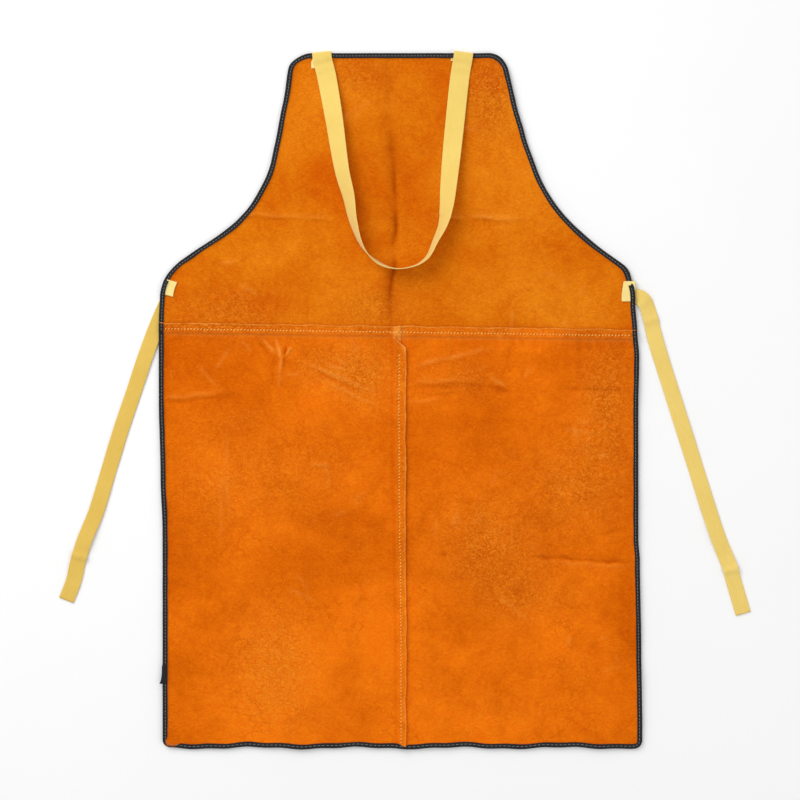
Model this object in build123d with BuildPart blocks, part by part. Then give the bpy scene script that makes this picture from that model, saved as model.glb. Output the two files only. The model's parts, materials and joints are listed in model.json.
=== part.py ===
"""Split-leather welding apron, laid flat with its inside face up.

The frame: the floor is Z = 0, the inside face looks to +Z, the neck edge is towards +Y and the hem
towards -Y. The origin is on the floor at the middle of the apron. All sizes are in millimetres.
"""
import os
from math import cos, radians, sin

from build123d import *

# ---------------------------------------------------------------- driving dimensions
# the leather pattern
half_width = 310.5            # centre line to side edge
half_length = 450.0           # middle of the apron to hem or neck edge
neck_half_width = 136.3       # centre line to the bib's top corner
shoulder_drop = 289.0         # neck edge down to the shoulder corner
armhole_half_width = 180.8    # centre line to the armhole's bend
armhole_drop = 191.6          # neck edge down to the armhole's bend
hem_radius = 9.0
shoulder_radius = 62.0
armhole_radius = 156.0
neck_radius = 27.0
leather = 1.4                 # thickness of the hide

# the seams
waist_drop = 366.0            # neck edge down to the waist seam
centre_seam_x = -5.0          # fold of the centre seam
allowance = 12.0              # width of the turned-up seam allowance
topstitch_inset = 4.0         # seam fold to the topstitching
thread = 0.8                  # width of a thread row
thread_rise = 0.4             # how far a thread row stands up
seam_thread = 0.6             # side of the hidden seam row

# the edge binding
tape = 0.8                    # thickness of the tape
leg = 5.7                     # how far each leg reaches in from the leather's edge
binding_stitch_inset = 2.4    # leather's edge to the binding's thread row

# the webbing
webbing = 1.3                 # thickness of the neck strap and the ties
neck_width = 25.0
tie_width = 20.0
tab_show = 13.0               # how much of a sewn end shows inside the binding
tie_drop = 309.0              # neck edge down to the middle of a tie's sewn end
left_leg_x = -101.5           # middle of the neck strap's left sewn end
right_leg_x = 82.5            # middle of the neck strap's right sewn end

# fits
clearance = 0.3               # between bodies that move past each other
bulge_margin = 1.0            # binding's bulge past each side of a sewn end
shelf_margin = 1.2            # the neck strap stays level this far past the binding's legs
climb_margin = 11.0           # and is down on the bib this far past its sewn ends

# where the neck strap leaves the binding and reaches the bib, as drops below its hinge
shelf_drop = tape + clearance + leg + shelf_margin
climb_drop = tape + clearance + leg + tab_show + climb_margin

# the neck loop's route from its left sewn end to its right one: across, drop below the neck edge,
# and how far the webbing has turned over, in degrees
neck_route = [
    (left_leg_x, 0.0, 0.0),
    (left_leg_x + 1.5, shelf_drop, 0.0),
    (left_leg_x + 6.0, climb_drop, 8.0),
    (-86.5, 79.0, 27.0),
    (-75.0, 153.0, 48.0),
    (-66.5, 186.0, 57.0),
    (-60.0, 220.0, 72.0),
    (-47.5, 253.0, 88.0),
    (-28.5, 272.0, 103.0),
    (-5.0, 280.0, 94.0),
    (20.0, 276.0, 96.0),
    (35.5, 265.0, 99.0),
    (46.0, 244.0, 103.0),
    (56.0, 222.0, 112.0),
    (60.5, 198.0, 130.0),
    (62.0, 176.0, 142.0),
    (67.0, 131.0, 160.0),
    (72.5, 78.0, 174.0),
    (right_leg_x - 4.5, climb_drop, 180.0),
    (right_leg_x - 1.0, shelf_drop, 180.0),
    (right_leg_x, 0.0, 180.0),
]

# the ties' routes: out from the leather's side edge, and drop below the middle of the sewn end
left_tie_route = [(-12.0, 4.0), (20.5, 84.0), (52.5, 180.0), (85.0, 287.0), (103.0, 332.0),
                  (110.5, 363.0), (124.0, 402.0)]
left_tie_radii = [150.0, 300.0, 250.0, 60.0, 40.0]
right_tie_route = [(-10.0, 6.0), (8.0, 14.0), (17.5, 51.0), (38.0, 115.0), (58.5, 180.0),
                   (90.5, 281.5), (107.5, 331.0), (120.0, 364.0), (136.0, 419.0)]
right_tie_radii = [18.0, 90.0, 200.0, 250.0, 200.0, 60.0, 60.0]

# ---------------------------------------------------------------- what follows from them
neck_edge_y = half_length
waist_y = neck_edge_y - waist_drop
tie_y = neck_edge_y - tie_drop
edge_base = tape                              # underside of the leather inside the binding
edge_top = tape + leather                     # its upper face there
binding_top = tape + leather + tape
bulge_top = binding_top + webbing
rim_inset = leg + 2.8                         # the leather is lifted onto the binding this far in
strip_inset = leg + 2.0                       # seam allowances stop this far from the edge
fold_top = 2 * leather                        # upper face of the lower allowance
strip_top = 3 * leather                       # upper face of the upper allowance
seam_level = 1.5 * leather                    # height of the hidden seam rows
reach = 2 * (half_width + half_length)        # larger than the whole apron

os.makedirs("parts", exist_ok=True)


# ---------------------------------------------------------------- helpers
def apron_face(grow=0.0):
    """The leather's flat outline, moved outwards by grow."""
    with BuildSketch() as face:
        with BuildLine():
            half = FilletPolyline(
                (0, -half_length),
                (half_width, -half_length),
                (half_width, neck_edge_y - shoulder_drop),
                (armhole_half_width, neck_edge_y - armhole_drop),
                (neck_half_width, neck_edge_y),
                (0, neck_edge_y),
                radius=[hem_radius, shoulder_radius, armhole_radius, neck_radius],
            )
            mirror(half, about=Plane.YZ)
        make_face()
        if grow:
            offset(amount=grow, mode=Mode.REPLACE)
    return face.sketch


def ring_face(outer, inner):
    """The band between two outlines, each given as its distance out from the leather's edge."""
    with BuildSketch() as face:
        add(apron_face(outer))
        add(apron_face(inner), mode=Mode.SUBTRACT)
    return face.sketch


def rectangle_face(x_low, x_high, y_low, y_high):
    """A rectangle given by its sides."""
    with BuildSketch() as face:
        with Locations(((x_low + x_high) / 2, (y_low + y_high) / 2)):
            Rectangle(x_high - x_low, y_high - y_low)
    return face.sketch


def block(face, z_low, z_high):
    """A flat outline given its thickness."""
    with BuildPart() as solid:
        with BuildSketch(Plane.XY.offset(z_low)):
            add(face)
        extrude(amount=z_high - z_low)
    return solid.part


def save(solid, label):
    """Name a finished piece and write it as its own file."""
    solid.label = label
    export_step(solid, f"parts/{label}.step")
    print(f"{label:24s} {len(solid.solids())} solid(s) {solid.volume / 1000:9.3f} cm3")


def panel(region):
    """The part of the hide in a region: flat on the floor, with its rim lifted onto the binding."""
    with BuildPart() as hide:
        with BuildSketch():
            add(apron_face(-rim_inset))
            add(region, mode=Mode.INTERSECT)
        extrude(amount=leather)
        with BuildSketch(Plane.XY.offset(edge_base)):
            add(ring_face(0.0, -rim_inset - leather))
            add(region, mode=Mode.INTERSECT)
        extrude(amount=leather)
    return hide.part


# ---------------------------------------------------------------- where the seams run
strip_half_width = half_width - strip_inset
hem_strip_y = -half_length + strip_inset
waist_riser_y = waist_y - leather
centre_riser_x = centre_seam_x - leather
half_seam = seam_thread / 2

bib_region = rectangle_face(-reach, reach, waist_y, reach)
left_region = rectangle_face(-reach, centre_seam_x, -reach, waist_y)
right_region = rectangle_face(centre_seam_x, reach, -reach, waist_y)

waist_thread_row = block(
    rectangle_face(-strip_half_width, strip_half_width, waist_y - half_seam, waist_y + half_seam),
    seam_level - half_seam, seam_level + half_seam)
centre_thread_row = block(
    rectangle_face(centre_seam_x - half_seam, centre_seam_x + half_seam, hem_strip_y, waist_riser_y),
    seam_level - half_seam, seam_level + half_seam)

# ---------------------------------------------------------------- bib panel
bib_fold = rectangle_face(-strip_half_width, strip_half_width, waist_y, waist_y + allowance)

with BuildPart() as bib_panel:
    add(panel(bib_region))
    with BuildSketch(Plane.XY.offset(leather)):
        add(bib_fold)
    extrude(amount=leather)
    add(waist_thread_row, mode=Mode.SUBTRACT)
save(bib_panel.part, "bib_panel")

# ---------------------------------------------------------------- left skirt panel
# its allowances are the top layer of both seams, and step up at each seam fold
left_waist_strip = rectangle_face(-strip_half_width, centre_seam_x, waist_riser_y, waist_y + allowance)
left_waist_riser = rectangle_face(-strip_half_width, centre_seam_x, waist_riser_y, waist_y)
centre_strip = rectangle_face(centre_riser_x, centre_seam_x + allowance, hem_strip_y, waist_riser_y)
centre_riser = rectangle_face(centre_riser_x, centre_seam_x, hem_strip_y, waist_riser_y)

with BuildPart() as left_skirt_panel:
    add(panel(left_region))
    for riser in (left_waist_riser, centre_riser):
        add(block(riser, 0.0, strip_top))
    for strip in (left_waist_strip, centre_strip):
        add(block(strip, fold_top, strip_top))
    add(waist_thread_row, mode=Mode.SUBTRACT)
    add(centre_thread_row, mode=Mode.SUBTRACT)
save(left_skirt_panel.part, "left_skirt_panel")

# ---------------------------------------------------------------- right skirt panel
right_waist_strip = rectangle_face(centre_seam_x, strip_half_width, waist_riser_y, waist_y + allowance)
right_waist_riser = rectangle_face(centre_seam_x, strip_half_width, waist_riser_y, waist_y)
right_fold = rectangle_face(centre_seam_x, centre_seam_x + allowance, hem_strip_y, waist_riser_y)

with BuildPart() as right_skirt_panel:
    add(panel(right_region))
    add(block(right_waist_riser, 0.0, strip_top))
    add(block(right_waist_strip, fold_top, strip_top))
    add(block(right_fold, leather, fold_top))
    add(waist_thread_row, mode=Mode.SUBTRACT)
    add(centre_thread_row, mode=Mode.SUBTRACT)
save(right_skirt_panel.part, "right_skirt_panel")

# ---------------------------------------------------------------- hidden seam rows
save(waist_thread_row, "waist_seam_thread")
save(centre_thread_row, "centre_seam_thread")

# ---------------------------------------------------------------- topstitching
waist_stitch_y = waist_y + topstitch_inset
centre_stitch_x = centre_seam_x + topstitch_inset
half_thread = thread / 2

waist_topstitching = block(
    rectangle_face(-strip_half_width, strip_half_width,
                   waist_stitch_y - half_thread, waist_stitch_y + half_thread),
    strip_top, strip_top + thread_rise)
save(waist_topstitching, "waist_topstitching")

centre_topstitching = block(
    rectangle_face(centre_stitch_x - half_thread, centre_stitch_x + half_thread,
                   hem_strip_y, waist_riser_y),
    strip_top, strip_top + thread_rise)
save(centre_topstitching, "centre_topstitching")

# ---------------------------------------------------------------- sewn ends of the webbing
tab_reach = leg + tab_show                    # how far in from the leather's edge a sewn end ends
tie_half = tie_width / 2
neck_half = neck_width / 2
edge_margin = 3 * shoulder_radius             # a region starts well outside the edge

left_tie_side = (-half_width - edge_margin, -half_width + tab_reach, tie_y - tie_half, tie_y + tie_half)
right_tie_side = (half_width - tab_reach, half_width + edge_margin, tie_y - tie_half, tie_y + tie_half)
left_neck_side = (left_leg_x - neck_half, left_leg_x + neck_half,
                  neck_edge_y - tab_reach, neck_edge_y + edge_margin)
right_neck_side = (right_leg_x - neck_half, right_leg_x + neck_half,
                   neck_edge_y - tab_reach, neck_edge_y + edge_margin)


def sewn_end(sides):
    """A webbing tab: on the lifted rim under the binding, then down on the leather's inside face."""
    with BuildPart() as tab:
        with BuildSketch(Plane.XY.offset(edge_top)):
            add(rectangle_face(*sides))
            add(ring_face(0.0, -rim_inset - leather - webbing), mode=Mode.INTERSECT)
        extrude(amount=webbing)
        with BuildSketch(Plane.XY.offset(leather)):
            add(rectangle_face(*sides))
            add(apron_face(-rim_inset - leather), mode=Mode.INTERSECT)
        extrude(amount=webbing)
    return tab.part


sewn_ends = {
    "left_tie_end": (left_tie_side, (0.0, bulge_margin)),
    "right_tie_end": (right_tie_side, (0.0, bulge_margin)),
    "neck_strap_left_end": (left_neck_side, (bulge_margin, 0.0)),
    "neck_strap_right_end": (right_neck_side, (bulge_margin, 0.0)),
}
tabs = {}
for name, (sides, margin) in sewn_ends.items():
    tabs[name] = sewn_end(sides)
    save(tabs[name], name)

# ---------------------------------------------------------------- edge binding and its stitching
tape_band = ring_face(tape, -leg)
stitch_band = ring_face(-binding_stitch_inset + half_thread, -binding_stitch_inset - half_thread)
bulges = []
for sides, margin in sewn_ends.values():
    x_low, x_high, y_low, y_high = sides
    bulges.append(rectangle_face(x_low - margin[0], x_high + margin[0],
                                 y_low - margin[1], y_high + margin[1]))

with BuildPart() as edge_binding:
    add(block(tape_band, 0.0, binding_top))
    add(block(apron_face(), edge_base, edge_top), mode=Mode.SUBTRACT)
    for bulge in bulges:
        with BuildSketch(Plane.XY.offset(edge_top)):
            add(tape_band)
            add(bulge, mode=Mode.INTERSECT)
        extrude(amount=webbing + tape)
    for tab in tabs.values():
        add(tab, mode=Mode.SUBTRACT)
save(edge_binding.part, "edge_binding")

with BuildPart() as binding_stitching:
    add(block(stitch_band, binding_top, binding_top + thread_rise))
    for bulge in bulges:
        add(block(bulge, binding_top, binding_top + thread_rise), mode=Mode.SUBTRACT)
    for bulge in bulges:
        with BuildSketch(Plane.XY.offset(bulge_top)):
            add(stitch_band)
            add(bulge, mode=Mode.INTERSECT)
        extrude(amount=thread_rise)
save(binding_stitching.part, "binding_stitching")

# ---------------------------------------------------------------- neck strap
strap_floor = leather + clearance             # the loop's lower edge over the bib
hinge_lift = bulge_top + thread_rise + clearance
neck_hinge_y = neck_edge_y + tape + clearance


def route_point(step):
    """Middle of the strap at one step of its route, standing on its lower edge."""
    across, drop, turn = step
    stand = neck_half * abs(sin(radians(turn))) + webbing / 2 * abs(cos(radians(turn)))
    level = min(1.0, max(0.0, (climb_drop - drop) / (climb_drop - shelf_drop)))
    lift = level * (hinge_lift - strap_floor)
    return Vector(across, neck_hinge_y - drop, strap_floor + lift + stand)


points = [route_point(step) for step in neck_route]
last = len(points) - 1

with BuildPart() as neck_strap:
    for index, step in enumerate(neck_route):
        before = points[max(index - 1, 0)]
        after = points[min(index + 1, last)]
        along = Vector(after.X - before.X, after.Y - before.Y, 0).normalized()
        if index in (0, last):
            along = Vector(0, -1 if index == 0 else 1, 0)
        inward = Vector(0, 0, 1).cross(along)
        turn = radians(step[2])
        across = inward * cos(turn) + Vector(0, 0, 1) * sin(turn)
        with BuildSketch(Plane(points[index], x_dir=across, z_dir=along)):
            Rectangle(neck_width, webbing)
    loft(ruled=True)
save(neck_strap.part, "neck_strap")

loop_length = sum((points[i + 1] - points[i]).length for i in range(last))
print("neck loop length", round(loop_length, 1))

# ---------------------------------------------------------------- waist ties
tie_hinge_x = half_width + tape + clearance


def waist_tie(side, route, radii):
    """A flat tie on the floor, from the edge outwards; side is -1 for left and 1 for right."""
    route_points = [(side * (half_width + out), tie_y - drop) for out, drop in route]
    with BuildPart() as tie:
        with BuildSketch():
            with BuildLine():
                line = FilletPolyline(*route_points, radius=radii)
            trace(line_width=tie_width)
            outside = sorted((side * tie_hinge_x, side * reach))
            add(rectangle_face(outside[0], outside[1], -reach, reach), mode=Mode.INTERSECT)
        extrude(amount=webbing)
    print("tie route length", round(line.length, 1))
    return tie.part


save(waist_tie(-1, left_tie_route, left_tie_radii), "left_tie")
save(waist_tie(1, right_tie_route, right_tie_radii), "right_tie")
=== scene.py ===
# %% [markdown]
# # A split-leather welding apron, laid flat
#
# A welding apron is a few sheets of split cowhide sewn together, with a dark tape folded over the cut
# edge and webbing straps caught under that tape. It lies on its outer face, so the inside shows: rough
# suede, turned-up seam allowances, and the ends of the straps.
#
# Everything here is made flat first, as a pattern cutter would, and then laid on the floor by one
# shared pair of functions. They move a point of the flat pattern to where the hide really lies, so
# the leather, the tape and every stitch follow the same waves without being fitted to one another.

# %% Load the frame
import json
from math import cos, exp, hypot, pi, radians, sin, tan
from random import Random

import bmesh
import bpy
from mathutils import Matrix, Vector, kdtree, noise

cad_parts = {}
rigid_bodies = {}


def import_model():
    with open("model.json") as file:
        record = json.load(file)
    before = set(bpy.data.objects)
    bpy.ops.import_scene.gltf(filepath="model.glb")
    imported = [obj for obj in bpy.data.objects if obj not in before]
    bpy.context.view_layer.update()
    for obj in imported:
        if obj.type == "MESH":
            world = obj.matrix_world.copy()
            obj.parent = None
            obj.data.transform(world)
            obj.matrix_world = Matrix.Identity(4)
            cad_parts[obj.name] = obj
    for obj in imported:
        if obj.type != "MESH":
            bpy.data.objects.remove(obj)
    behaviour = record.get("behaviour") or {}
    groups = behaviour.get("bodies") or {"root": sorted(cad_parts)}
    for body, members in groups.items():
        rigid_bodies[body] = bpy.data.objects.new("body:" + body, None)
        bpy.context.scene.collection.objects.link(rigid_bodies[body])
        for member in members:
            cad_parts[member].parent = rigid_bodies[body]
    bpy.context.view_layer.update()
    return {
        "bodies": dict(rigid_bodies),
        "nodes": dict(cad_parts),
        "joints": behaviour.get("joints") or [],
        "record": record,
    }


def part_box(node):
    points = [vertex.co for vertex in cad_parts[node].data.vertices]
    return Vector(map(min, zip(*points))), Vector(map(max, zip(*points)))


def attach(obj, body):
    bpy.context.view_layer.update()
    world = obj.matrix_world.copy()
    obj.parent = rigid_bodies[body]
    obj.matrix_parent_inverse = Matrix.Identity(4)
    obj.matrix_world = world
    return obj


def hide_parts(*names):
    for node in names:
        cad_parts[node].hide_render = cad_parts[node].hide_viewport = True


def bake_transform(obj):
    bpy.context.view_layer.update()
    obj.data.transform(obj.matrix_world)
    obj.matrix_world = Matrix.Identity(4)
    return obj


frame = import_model()

# %% [markdown]
# ## Sizes
#
# The frame says where the seams run and how thick the hide is. The corners of the pattern are four
# named points: hem, shoulder, the bend of the armhole, and the bib's top corner, each with a rounding.

# %% Sizes from the frame
mm = 0.001
binding_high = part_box("edge_binding")[1]
tape = 0.8 * mm
half_width = binding_high.x - tape
half_length = binding_high.y - tape
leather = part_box("bib_panel")[1].z / 2
waist_y = sum(corner.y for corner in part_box("waist_seam_thread")) / 2
seam_x = sum(corner.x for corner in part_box("centre_seam_thread")) / 2

hem_corner = (half_width, -half_length, 9 * mm)
shoulder_corner = (half_width, half_length - 289 * mm, 62 * mm)
armhole_corner = (180.8 * mm, half_length - 191.6 * mm, 156 * mm)
neck_corner = (136.3 * mm, half_length, 27 * mm)
corners = [hem_corner, shoulder_corner, armhole_corner, neck_corner]

leg = 5.7 * mm                # how far the tape reaches in from the leather's edge
allowance = 12 * mm           # width of the turned-up seam allowances
webbing = 1.3 * mm
neck_width = 25 * mm
tie_width = 20 * mm
print("leather", round(leather / mm, 2), "mm, waist seam at", round(waist_y / mm, 1), "mm")

# %% [markdown]
# ## The pattern's outline
#
# The outline starts as eight points of one flat face. A bevel that only affects vertices rounds each
# corner: its offset is the distance along both edges to where the rounding starts, which for a circle
# is the radius divided by the tangent of half the corner's angle. Doing it on a face, and not on a
# curve, keeps a surface that the knife can cut in the next step.

# %% Outline face
def pattern_face(bm):
    """One flat face with the apron's outline."""
    right = [bm.verts.new((x, y, 0)) for x, y, radius in corners]
    left = [bm.verts.new((-x, y, 0)) for x, y, radius in reversed(corners)]
    bm.faces.new(right + left)
    roundings = [radius for x, y, radius in corners]
    for vert, radius in zip(right + left, roundings + roundings[::-1]):
        sides = [(edge.other_vert(vert).co - vert.co).normalized() for edge in vert.link_edges]
        reach = radius / tan(sides[0].angle(sides[1]) / 2)
        bmesh.ops.bevel(bm, geom=[vert], offset=reach, affect="VERTICES", segments=24,
                        profile=0.5, material=-1)


def walk_outline(spacing):
    """Evenly spaced points along the outline, anticlockwise, each with its inward direction."""
    bm = bmesh.new()
    pattern_face(bm)
    bm.faces.ensure_lookup_table()
    ring = [vert.co.copy() for vert in bm.faces[0].verts]
    bm.free()
    lengths = [(ring[i - 1] - ring[i]).length for i in range(len(ring))]
    count = round(sum(lengths) / spacing)
    step = sum(lengths) / count
    walk, along, i = [], 0.0, 0
    for n in range(count):
        while along + lengths[i] < n * step:
            along += lengths[i]
            i += 1
        start, end = ring[i - 1], ring[i]
        direction = (end - start).normalized()
        walk.append((start + direction * (n * step - along), Vector((-direction.y, direction.x, 0))))
    return walk, step


outline, outline_step = walk_outline(1.4 * mm)
edge_tree = kdtree.KDTree(len(outline))
for n, (point, inward) in enumerate(outline):
    edge_tree.insert(point, n)
edge_tree.balance()
print(len(outline), "points round the edge, which is", round(len(outline) * outline_step, 3), "m long")

# %% [markdown]
# ## How the apron lies
#
# Nobody lays a hide down perfectly. `laid` moves a flat point sideways: the edges wander a few
# millimetres and the waist seam runs slightly downhill. `rise` lifts it: broad waves, a rippling edge
# where the tape is tighter than the hide, the folds that the packing left, and puckers at the seams.
# Both are sums of simple formulas and seeded noise, so every run gives the same hide.

# %% Small helpers for smooth shapes
def smooth(value):
    """0 below 0, 1 above 1, and an even ramp between them."""
    value = min(1.0, max(0.0, value))
    return value * value * (3 - 2 * value)


def hump(distance, width):
    """1 in the middle, and close to 0 two widths away."""
    return exp(-(distance / width) ** 2)


def noise_of(x, y, scale, seed):
    """Smooth noise from -1 to 1, with `scale` lumps to the metre."""
    return noise.noise((x * scale, y * scale, seed))


def along_list(stops, y, ease=smooth):
    """Value at y from a short list of (y, value) stops, lowest first."""
    if y <= stops[0][0]:
        return stops[0][1]
    for (y0, v0), (y1, v1) in zip(stops, stops[1:]):
        if y <= y1:
            return v0 + (v1 - v0) * ease((y - y0) / (y1 - y0))
    return stops[-1][1]


# %% Sideways drift
# how far each side edge lies out of true, to the right, in millimetres, from the hem up
left_drift = [(-0.43, 2.8), (-0.17, 2.6), (-0.10, 0.0), (0.0, -2.2), (0.09, -2.4), (0.15, -0.2),
              (0.185, 4.5), (0.212, 8.0), (0.24, 6.0), (0.28, 3.5), (0.33, 1.8), (0.385, -0.2),
              (0.436, -3.8), (0.45, -0.6)]
right_drift = [(-0.43, 3.7), (-0.33, 2.4), (-0.21, 0.6), (-0.18, -1.5), (0.0, -1.5), (0.06, -0.3),
               (0.095, -3.0), (0.13, -5.4), (0.155, -2.6), (0.176, 3.0), (0.2, 0.8), (0.236, 5.0),
               (0.30, 5.0), (0.345, 0.8), (0.38, -1.2), (0.436, -1.2), (0.45, 0.7)]
side_line = [(y, x) for x, y, radius in corners]
waist_slope = -0.0148


def laid(x, y):
    """Where a point of the flat pattern lies, seen from above."""
    half = along_list(side_line, y, ease=float)
    share = min(1.0, max(0.0, 0.5 + x / (2 * half)))
    drift = (1 - share) * along_list(left_drift, y) + share * along_list(right_drift, y)
    slope = waist_slope * x * smooth(1 - abs(y - waist_y) / 0.3)
    hem_pull = smooth((-y - 0.36) / 0.09) * (1.6 + 1.3 * sin(x * 47 + 1.2) + 0.6 * sin(x * 131)) * mm
    return x + drift * mm, y + slope - hem_pull


def flat_from_laid(x, y):
    """The pattern point that ends up at this place on the floor."""
    laid_x, laid_y = laid(x, y)
    return Vector((2 * x - laid_x, 2 * y - laid_y, 0))


# %% [markdown]
# ### Creases
#
# Packing folds the hide down the middle and across, and the seams drag small wrinkles out of it. Each
# crease is a straight stroke between two points, wandering a little, as deep as its third number says.
# A soft fold often has a ridge close beside its valley, so many strokes come in pairs.

# %% Creases
# two ends, then the depth (a ridge is positive) and the half width, all in millimetres
creases = [
    (-15, 460, -13, 270, -0.6, 8), (-14, 370, -9, 60, -0.9, 9), (-13, 350, -10, 100, -0.9, 3),
    (-6, 330, -3, 120, 0.4, 5), (-230, 237, -70, 230, -0.8, 3), (-230, 241, -80, 234, 0.6, 3.5),
    (30, 236, 170, 231, -0.6, 3), (30, 240, 170, 236, 0.6, 3), (-312, -8, -200, 4, -0.8, 3),
    (-312, -3, -220, 9, 0.5, 3), (0, 16, 120, 22, -0.75, 4.5), (5, 22, 110, 29, 0.5, 3),
    (85, 24, 160, 11, -0.6, 3.5), (190, 20, 312, 15, -0.7, 3), (20, 4, 90, 12, -0.5, 2.5),
    (0, -4, 60, 4, 0.4, 2.5), (160, -203, 314, -212, -1.1, 3), (170, -207, 314, -217, 0.5, 3),
    (-130, 50, -20, 6, 0.8, 2), (-125, 44, -30, 2, -0.6, 2.5), (-110, 30, -20, -12, 0.5, 2),
    (10, 42, 130, 72, 0.7, 2), (20, 40, 120, 62, -0.4, 2.5), (-160, 82, -151, 48, 1.2, 1.8),
    (-139, 70, -151, 48, 1.1, 1.6), (-152, 55, -156, 12, 1.2, 2), (-147, 72, -148, 30, -1.0, 2),
    (-162, 60, -163, 16, -0.8, 2.2), (-178, 80, -158, 58, 0.9, 1.8), (-186, 79, -166, 54, -0.7, 2),
    (-205, 78, -190, 58, 0.6, 1.8), (-152, 30, -125, 31, 0.5, 1.6), (-218, 66, -238, 34, 0.5, 1.8),
    (-262, 45, -232, 8, 0.5, 1.8), (-225, -30, -224, -170, 0.6, 2), (-232, -80, -236, -200, 0.4, 2),
    (262, -176, 314, -158, -0.6, 2.5), (266, -190, 314, -176, -0.5, 2.5),
    (-150, -243, -112, -262, 0.5, 2.2), (-138, -225, -118, -250, 0.4, 2),
    (278, -235, 262, -300, -0.5, 3), (262, -300, 232, -350, -0.4, 3), (120, -250, 168, -290, 0.4, 2.2),
    (45, 355, 115, 352, 0.4, 2.5), (-100, 350, -30, 395, 0.35, 3),
]
# clusters of short random creases: the middle of each, and how far it spreads
for x, y, spread in ((-100, -100, 50), (100, -160, 60), (230, -20, 50), (-200, 160, 50),
                     (200, 150, 50), (-60, 50, 40), (130, 50, 40), (260, -330, 40)):
    chance = Random(round(x + 0.077 * y))
    for _ in range(7):
        turn = chance.uniform(0, pi)
        middle_x, middle_y = x + chance.gauss(0, spread / 2), y + chance.gauss(0, spread / 2)
        reach = chance.uniform(8, 20)
        creases.append((middle_x - reach * cos(turn), middle_y - reach * sin(turn),
                        middle_x + reach * cos(turn), middle_y + reach * sin(turn),
                        chance.choice((-0.4, 0.35, 0.5)), chance.uniform(1.6, 2.4)))
print(len(creases), "creases")


def crease_at(x, y):
    """(height, shade) of all creases at a point: each wanders, varies, and fades at its ends."""
    height = shade = 0.0
    wander = 2.2 * noise_of(x, y, 45, 4) + 0.9 * noise_of(x, y, 160, 5)
    patchy = 0.75 + 0.9 * noise_of(x, y, 42, 11)
    here_x, here_y = x / mm, y / mm
    for x0, y0, x1, y1, depth, width in creases:
        length = hypot(x1 - x0, y1 - y0)
        along_x, along_y = (x1 - x0) / length, (y1 - y0) / length
        run = (here_x - x0) * along_x + (here_y - y0) * along_y
        if run < 0 or run > length:
            continue
        across = abs((here_y - y0) * along_x - (here_x - x0) * along_y + wander)
        if across > 4 * width:
            continue
        ends = smooth(run / (0.3 * length)) * smooth((length - run) / (0.3 * length))
        fold = exp(-(across / width) ** 1.5) * ends * patchy
        height += 1.5 * depth * fold * mm
        shade -= 1.3 * depth * fold
    return height, shade


# %% [markdown]
# ### Waves and puckers
#
# The hide stands one or two millimetres off the floor in slow waves. Where a strap passes under the
# edge it is held at the strap's thickness instead, or the strap would come out through it.

# %% Waves and puckers
def pucker_at(x, y):
    """Short wrinkles that the waist seam's thread pulls into the hide below it."""
    below = waist_y + waist_slope * x - y
    if below < -0.02 or below > 0.09:
        return 0.0
    bend = 3.0 * noise.noise((x * 30, 1.5, 0)) + below * 60 * noise.noise((x * 12, 7, 0))
    strength = 0.15 + 0.85 * smooth(0.45 + 1.8 * noise.noise((x * 14, 0.3, 2.0)))
    fade = smooth(1 - below / 0.035) if below > 0 else smooth(1 + below / 0.02)
    return 0.45 * mm * sin(x * 420 + bend) * strength * fade


# where webbing passes under the edge: the middle of each place, and how far it reaches
exits = [((-0.1015, 0.450), 16 * mm), ((0.0825, 0.450), 16 * mm),
         ((-0.3105, 0.105), 34 * mm), ((0.3105, 0.130), 22 * mm)]
held_height = webbing + 0.25 * mm
fade_length = 18 * mm


def held_at(x, y):
    """1 where the edge rests on webbing, fading to 0 round it."""
    return max(smooth((reach + fade_length - hypot(x - at[0], y - at[1])) / fade_length)
               for at, reach in exits)


def from_edge(x, y):
    """Distance from a point to the pattern's outline."""
    return edge_tree.find((x, y, 0))[2]


def rise(x, y):
    """How far the hide's underside stands off the floor."""
    waves = 1.3 * noise_of(x, y, 6.5, 0) + 0.6 * noise_of(x, y, 17, 3)
    ripple = 1.1 * noise_of(x, y, 26, 8) * exp(-from_edge(x, y) / 0.03)
    height = max(0.45 * mm, (1.9 + waves + ripple) * mm + crease_at(x, y)[0] + pucker_at(x, y))
    return height + (held_height - height) * held_at(x, y)


def place(x, y, z):
    """Final place of a point z above the underside of the flat pattern."""
    flat_x, flat_y = laid(x, y)
    return Vector((flat_x, flat_y, z + rise(x, y)))


heights = [rise(point.x, point.y) / mm for point, inward in outline[::10]]
print("the edge stands", round(min(heights), 1), "to", round(max(heights), 1), "mm off the floor")

# %% [markdown]
# ## Making objects
#
# Each piece is a bmesh that becomes an object at the origin, with its place in its mesh. A piece that
# is one thickness of leather or cloth gets that thickness from a Solidify modifier, which keeps the
# sheet easy to shape while it is still one layer of faces. `sewn_on` then hangs the piece on the apron's
# body of the frame and hides the plain solids it stands for.

# %% Object helper
def make_object(name, bm, materials, thickness=None, rim_material=0):
    """Turn a bmesh into an object, smooth shaded, with an even thickness if one is given."""
    mesh = bpy.data.meshes.new(name)
    bm.normal_update()
    bm.to_mesh(mesh)
    bm.free()
    mesh.polygons.foreach_set("use_smooth", [True] * len(mesh.polygons))
    piece = bpy.data.objects.new(name, mesh)
    bpy.context.scene.collection.objects.link(piece)
    for material in materials:
        mesh.materials.append(material)
    if thickness:
        shell = piece.modifiers.new("thickness", "SOLIDIFY")
        shell.thickness = thickness
        shell.offset = 0
        shell.material_offset_rim = rim_material
    print(f"{name}: {len(mesh.polygons)} faces")
    return piece


def sewn_on(piece, slot_name, *nodes):
    """A piece that moves with the apron's own body."""
    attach(piece, "apron")
    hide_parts(*nodes)
    return piece


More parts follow.
